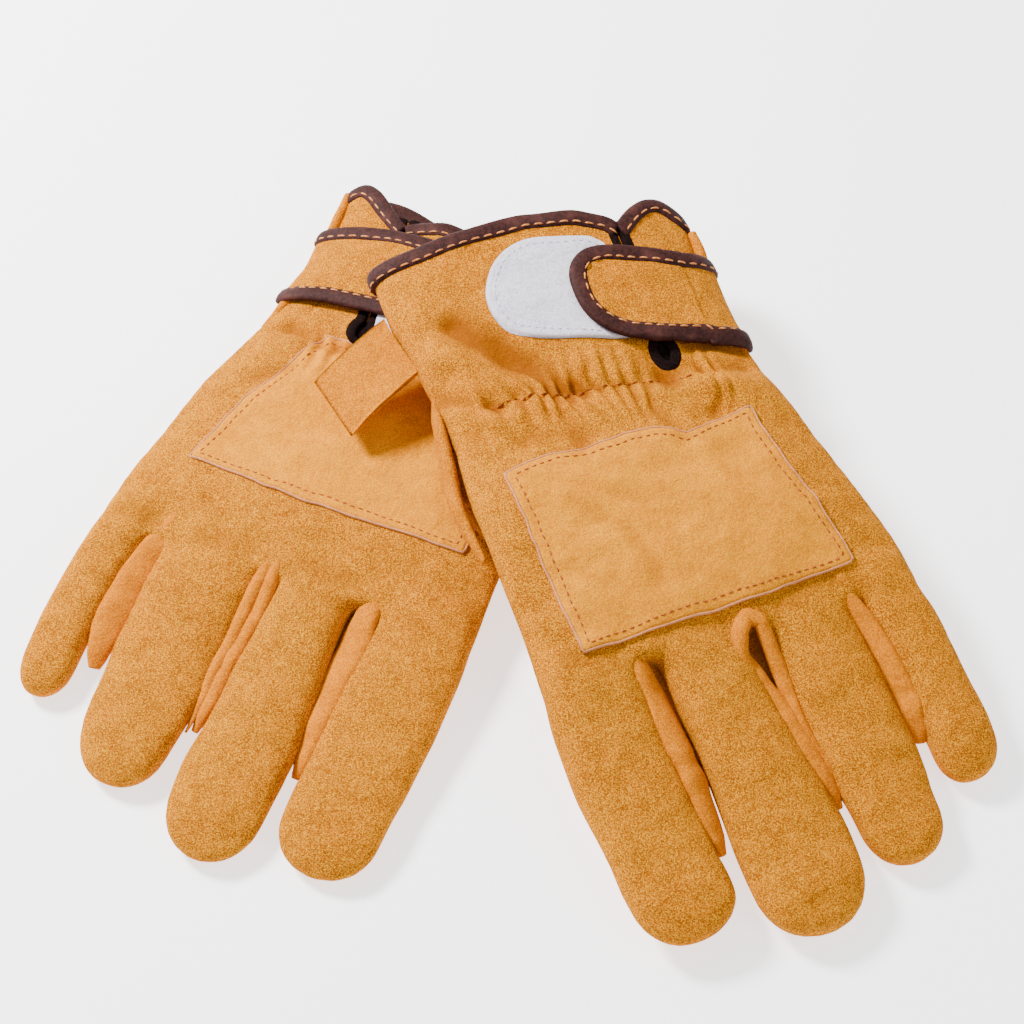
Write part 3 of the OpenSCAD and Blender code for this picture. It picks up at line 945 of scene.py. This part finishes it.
# The strips between the fingers: points, widths, thicknesses, and which way each faces
STRIPS = {
    "left": {
        "index_middle": [
            ([(-37.5, 3, 19.5), (-36.2, -3, 16.6), (-34.8, -12, 13), (-33.9, -30, 11),
             (-32.9, -50, 9.2), (-32.0, -58, 7.2), (-31.8, -62.5, 5.0)],
             [3.4, 7.4, 10.4, 10.6, 9.4, 6.4, 3], [3, 5, 5.6, 5.6, 5, 3.4, 2.2], (0.62, 0, 0.78)),
        ],
        "middle_ring": [
            ([(-3.6, -15, 14), (-5.6, -9.5, 17.6), (-4.4, -2.6, 20.4), (-0.6, 1.6, 21.6),
             (3.2, -0.8, 20.6), (4.6, -8, 17.2), (5.0, -17, 13.6), (6.0, -34, 11), (8.0, -50, 8.6),
             (8.6, -61, 6.4)],
             [4.6, 5.4, 5.4, 5.2, 5.2, 5.4, 5.2, 4.6, 3.4, 0.8], [5, 5.4, 5.4, 5, 5, 5, 5, 5, 4, 1],
             (-0.25, 0, 0.97)),
            ([(-4.4, -10, 14), (-2.6, -16, 14.2), (0.6, -25, 12.6), (3.2, -38, 11.4), (6.0, -50, 9.2),
             (7.6, -57, 7.2), (7.8, -61, 5.0)],
             [4.6, 5.6, 6, 6, 5.6, 4.4, 2.6], [5, 5.6, 5.6, 5.4, 5, 3.6, 2], (0.3, 0, 0.95)),
        ],
        "ring_little": [
            ([(33.6, 6, 20.4), (34.4, -1, 17.6), (35.8, -10, 14), (38.2, -24, 11.6), (39.6, -38, 10),
             (39.8, -45, 8.0), (39.6, -49, 5.4)],
             [3.6, 6.6, 9.2, 10, 9.2, 7, 3.4], [4, 5, 5.6, 5.8, 5.4, 4, 2.4], (-0.62, 0, 0.78)),
        ],
    },
    "right": {
        "index_middle": [
            ([(-33, 4, 20), (-33.4, -2, 17.4), (-32.8, -10, 13.6), (-31.4, -25, 11), (-30.6, -42, 9.6),
             (-31, -54, 7.8), (-31.4, -60, 5.2)],
             [5, 8.8, 11, 11, 9.4, 6.4, 3], [4, 5, 5.6, 5.8, 5.4, 4, 2.2], (0.5, 0, 0.86)),
        ],
        "middle_ring": [
            ([(1.0, 6, 21.4), (1.0, -1, 19.4), (0.4, -10, 15.4), (1.6, -26, 12.2), (3.2, -42, 10.2),
             (4.2, -51, 8.2), (4.6, -56, 5.4)],
             [3, 4.8, 5.2, 5.2, 5, 4.4, 2.6], [4, 5, 5.4, 5.4, 5, 4, 2], (0.4, 0, 0.92)),
            ([(3.2, 6, 21.4), (4.2, -1, 19.2), (4.8, -10, 15.4), (5.2, -26, 12.2), (6.2, -42, 10.4),
             (7.0, -58, 7)],
             [3, 4.6, 4.8, 4.6, 3.6, 0.8], [4, 5, 5.4, 5.4, 4.6, 1], (-0.5, 0, 0.87)),
        ],
        "ring_little": [
            ([(39.0, 8, 20.6), (40.0, 1, 18), (41.8, -8, 14.4), (44.0, -22, 11.6), (44.8, -34, 9.8),
             (44.6, -42, 7.8), (44.2, -47, 5.2)],
             [4, 8, 11, 12.4, 11.4, 8, 3.6], [4, 5, 6, 6.4, 5.6, 4, 2.4], (-0.42, 0, 0.91)),
        ],
    },
}
SIDE_ROLL = {
    "left": [(40, 142, 13), (39.4, 132, 13), (37.6, 118, 12.6), (37, 104, 12.4), (38.4, 92, 13),
        (41.4, 80, 14)],
    "right": [(40.4, 156, 13), (39.6, 144, 13), (39.0, 130, 13), (40.2, 116, 12.6), (42.6, 102, 13),
        (46.2, 90, 14)],
}
WEBS = {
    "left": {"index_middle": (-33.6, -31.8, -58), "middle_ring": (1.6, 7.6, -53),
        "ring_little": (36.4, 39.6, -42)},
    "right": {"index_middle": (-31.8, -31.2, -58), "middle_ring": (2.2, 4.8, -53),
        "ring_little": (42, 44.6, -40)},
}
THUMB_ROLL = [(-63.5, 111, 14), (-66.4, 100, 12.6), (-68.4, 86, 12), (-70.2, 70, 12), (-70.4, 58, 12.4),
    (-69.6, 46, 13)]


def add_strips(side, shape, mats):
    seed = LOOK[side]["seed"] * 7
    for name, rolls in STRIPS[side].items():
        made = [strip(*roll[:3], seed + 10 * i, roll[3]) for i, roll in enumerate(rolls)]
        x0, x1, end = WEBS[side][name]
        web = [(x0, 4, 13), (x0, -6, 8.6), ((x0 + x1) / 2, end / 2, 6.0), (x1, end, 3.6)]
        made.append(strip(web, [10, 13, 12, 4], [4, 4.4, 4, 2], seed + 5))
        nodes = ["fourchette_" + name]
        piece("strip_" + name, side, *merge(made), mats["strip"], "strip_hide", nodes, shape=shape)
        seed += 31
    thumb_roll = strip(THUMB_ROLL, [1.5, 3.6, 4.6, 4.8, 3.8, 1.5], [3, 7, 9, 9, 7, 3], seed + 50)
    side_roll = strip(SIDE_ROLL[side], [4.4, 5, 5.4, 5.4, 4.6, 2], [10, 13, 13, 13, 10, 4], seed + 60)
    piece("thumb_gusset", side, *thumb_roll, mats["palm"], "palm_hide", [], shape=shape)
    piece("cuff_side_roll", side, *side_roll, mats["palm"], "palm_hide", [], shape=shape)


def add_patch(side, shape, mats):
    outline = resample(PATCH if side == "left" else PATCH_LOW, 2.0, closed=True)
    flat, seed = np.column_stack([outline, outline[:, 0] * 0]), LOOK[side]["seed"]
    outline = outline + 0.35 * np.column_stack([noise_at(flat, 5, seed + k) for k in (20, 21)])
    made = plate(shape, outline, PATCH_THICK)
    piece("patch", side, *made, mats["patch"], "patch_hide", ["back_patch"], shape=shape)
    centre = outline.mean(axis=0)
    reach = np.linalg.norm(outline - centre, axis=1)[:, None]
    line = resample(centre + (outline - centre) * (1 - 3.2 / reach), 1.0, closed=True)
    p, n = shape.lay(np.vstack([line, line[:1]]))
    made = stitches(p + np.array([0, 0, PATCH_THICK]), n, 2.7, 2.0, 0.26, 0.05)
    rim = np.vstack([outline, outline[:1]])
    p, n = shape.lay(rim)
    raw = sweep(p + np.array([0, 0, 0.5]), n, 0.8, 1.5, 10)
    piece("patch_edge", side, *raw, mats["raw"], "patch_hide", ["back_patch"], shape=shape)
    piece("patch_thread", side, *made, mats["thread_patch"], "patch_hide", [], shape=shape)


def add_pad(side, shape, mats):
    outline = rounded(PAD, 2) - np.array([0, 0 if side == "left" else 8])
    made = plate(shape, outline, PILE_THICK, 0.0, 1.1)
    piece("pile", side, *made, mats["pad"], "pile", ["loop_pad"], shape=shape)
    centre = outline.mean(axis=0)
    line = resample(outline, 1.0, closed=True)
    reach = np.linalg.norm(line - centre, axis=1)[:, None]
    line = centre + (line - centre) * (1 - 3.0 / reach)
    p, n = shape.lay(np.vstack([line, line[:1]]))
    made = stitches(p + np.array([0, 0, PILE_THICK]), n, 2.6, 2.0, 0.26, 0.0)
    piece("pile_thread", side, *made, mats["thread_pad"], "pile", [], shape=shape)


def add_bindings(side, shape, mats):
    p, n = cuff_path(side)
    inner = p - np.array([0, 2.2, 0]) - n * (HIDE * 0.5)
    cuff = sweep(inner, n, TAPE_WIDE, 3.3)
    piece("cuff_edge", side, *cuff, mats["binding"], "binding", ["cuff_binding"], shape=shape)
    q, m = slit_path(shape)
    angles = np.linspace(0, 2 * np.pi, 24, endpoint=False)
    # A dark disc 2.6 mm under the keyhole, in the slit edge's dark material: painted shade for the glove's
    # hollow inside, seen through the keyhole.
    keyhole_shade = np.column_stack([KEYHOLE[0] + 3.6 * np.cos(angles), KEYHOLE[1] + 5.6 * np.sin(angles)])
    slit = merge([sweep(q - m * 0.9, m, 4.0, 2.6), plate(shape, keyhole_shade, 0.8, -2.6, 0.8, 1.0)])
    piece("slit_edge", side, *slit, mats["frayed_edge_and_shade"], "binding", ["slit_binding"], shape=shape)
    row = p - np.array([0, 4.2, 0]) + n * 0.95
    made = stitches(row, n, 4.4, 3.1, 0.3, 0.1)
    piece("edge_thread", side, *made, mats["thread"], "binding", [], shape=shape)


def add_gather(side, shape, mats):
    line = resample(GATHER[1:-1], 1.0)
    p, n = shape.lay(line)
    made = stitches(p, n, 2.5, 1.9, 0.24, 0.12)
    piece("gather_thread", side, *made, mats["thread_patch"], "hide", [], shape=shape)
    xs = np.linspace(-54, 22, 150)
    ys = np.interp(xs, [g[0] for g in GATHER], [g[1] for g in GATHER])
    wave = 1.1 * np.sin(xs * 2 * np.pi / 4.7)
    q, m = shape.lay(np.column_stack([xs, ys]))
    made = sweep(q - np.array([0, 0, 3.6]) + np.column_stack([xs * 0, xs * 0, wave * 0.5]), m, 7.0, 1.0)
    piece("elastic", side, *made, mats["elastic"], "elastic", ["elastic_band"], shape=shape)


def add_strap(side, shape, mats):
    lift = STRAP_LIFT
    parts = (
        ("strap_hide", strap_sheet(shape, lift + 0.5, 1.4, 3.2), "back", "hide", ["strap_panel"]),
        ("strap_hooks", strap_sheet(shape, lift - 0.3, 0.9, 7.0, 26.0), "hooks", "hooks", ["hook_pad"]),
    )
    for name, (p, f), material, slot, nodes in parts:
        piece(name, side, p, f, mats[material], slot, nodes, "strap", shape)
    p, n = strap_border(shape, 3.0, lift + 1.2)
    made = sweep(p, n, TAPE_WIDE, 3.2)
    piece("strap_edge", side, *made, mats["binding"], "binding", ["strap_binding"], "strap", shape)
    p, n = strap_border(shape, 4.8, lift + 2.75)
    made = stitches(p, n, 4.3, 3.1, 0.3, 0.05)
    piece("strap_thread", side, *made, mats["thread"], "binding", [], "strap", shape)


def add_loop_and_thumb(side, shape, mats):
    seed = LOOK[side]["seed"] * 3
    piece("loop", side, *pull_loop(seed), mats["loop"], "loop_hide", ["pull_loop"], "loop", shape)
    for name, upper in (("thumb_upper", True), ("thumb_lower", False)):
        made = thumb_half(upper, seed + 1)
        piece(name, side, *made, mats["palm"], "palm_hide", [name], shape=shape, soft=False)


def add_glove(side, mats):
    shape = add_skin(side, mats)
    add_strips(side, shape, mats)
    add_patch(side, shape, mats)
    add_pad(side, shape, mats)
    add_bindings(side, shape, mats)
    add_gather(side, shape, mats)
    add_strap(side, shape, mats)
    add_loop_and_thumb(side, shape, mats)


# ---------------------------------------------------------------- the room
def add_floor():
    mesh = plain_mesh([(-3, -3, 0), (3, -3, 0), (3, 3, 0), (-3, 3, 0)], [[0, 1, 2, 3]], "floor")
    floor = bpy.data.objects.new("floor", mesh)
    floor.location.z = -0.0002
    bpy.context.scene.collection.objects.link(floor)
    m = Nodes("floor_paper", 0.95)
    grain = m.noise(8, 2.0, 0.5)
    colour = m.ramp(grain, [(0.3, linear((253, 253, 253))), (0.7, linear((255, 255, 255)))])
    m.shader.inputs["Emission Color"].default_value = (1, 1, 1, 1)
    m.shader.inputs["Emission Strength"].default_value = 1.6
    mesh.materials.append(m.done(colour, m.bump(grain, 0.02, 0.0001)))


def add_light(name, at, size, power, colour=(1, 1, 1)):
    data = bpy.data.lights.new(name, "AREA")
    data.shape, data.size, data.energy, data.color = "DISK", size, power, colour
    obj = bpy.data.objects.new(name, data)
    obj.location = at
    obj.rotation_euler = (Vector((0, 0, 0)) - Vector(at)).to_track_quat("-Z", "Y").to_euler()
    bpy.context.scene.collection.objects.link(obj)


def add_room():
    add_floor()
    world = bpy.data.worlds.new("room")
    world.use_nodes = True
    world.node_tree.nodes["Background"].inputs["Color"].default_value = (1, 1, 1, 1)
    world.node_tree.nodes["Background"].inputs["Strength"].default_value = 0.8
    bpy.context.scene.world = world
    add_light("key", (-0.6, 0.4, 0.7), 0.25, 30.0)
    add_light("fill", (0.8, -0.5, 0.9), 0.8, 4.0)
    aim = Vector((0.00237, 0.01283, 0.0))
    dist, rise, field = 0.650, math.radians(58), 0.345
    data = bpy.data.cameras.new("camera")
    data.angle = 2 * math.atan(field / 2 / dist)
    data.clip_start = 0.01
    cam = bpy.data.objects.new("camera", data)
    cam.location = aim + Vector((0, -dist * math.cos(rise), dist * math.sin(rise)))
    cam.rotation_euler = (aim - cam.location).to_track_quat("-Z", "Y").to_euler()
    bpy.context.scene.collection.objects.link(cam)
    bpy.context.scene.camera = cam


materials = make_materials()
for hand in ("left", "right"):
    add_glove(hand, materials)
add_room()
